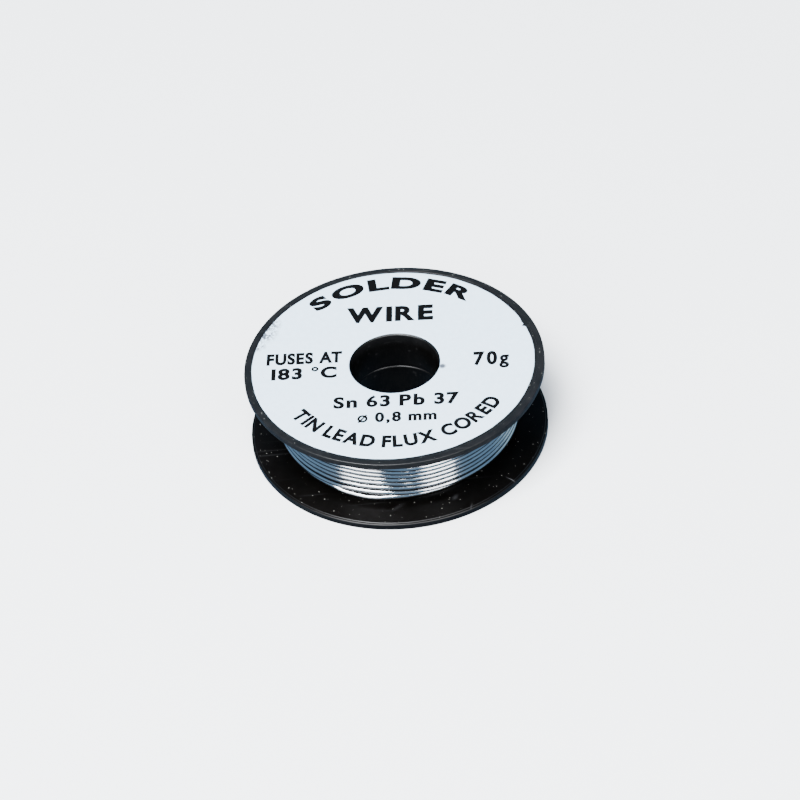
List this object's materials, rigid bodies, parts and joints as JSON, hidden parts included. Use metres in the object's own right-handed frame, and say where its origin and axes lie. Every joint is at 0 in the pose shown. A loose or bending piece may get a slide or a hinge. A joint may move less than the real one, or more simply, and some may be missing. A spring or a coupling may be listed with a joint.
{
  "type": "solder wire spool",
  "caption": "Small flanged plastic spool wound with flux-cored solder wire in layers, with a round paper label on one flange and a plain spindle bore through its hub.",
  "frame": {"origin": "centre of the plain flange's outer face, on which the spool lies", "axes": "+Z along the spool's axis, from the plain flange up to the labelled one; +X and +Y across the label, with its lettering running along +X"},
  "size_m": [0.05, 0.05, 0.0144],
  "materials": {
    "reel_plastic": "satin",
    "label_paper": "satin",
    "solder": "satin",
    "flux": "satin"
  },
  "bodies": {
    "root": {"label_side_half": "reel_plastic", "plain_side_half": "reel_plastic", "front_label": "label_paper", "wire_layer_01": "solder", "wire_layer_02": "solder", "wire_layer_03": "solder", "wire_layer_04": "solder", "wire_layer_05": "solder", "wire_layer_06": "solder", "wire_layer_07": "solder", "wire_layer_08": "solder", "wire_layer_09": "solder", "wire_layer_10": "solder", "wire_layer_11": "solder", "wire_layer_12": "solder", "wire_layer_13": "solder", "wire_layer_14": "solder", "wire_layer_ramps": "solder", "wire_inner_end": "solder", "wire_outer_end": "solder", "flux_core_inner_end": "flux", "flux_core_outer_end": "flux"}
  },
  "joints": []
}
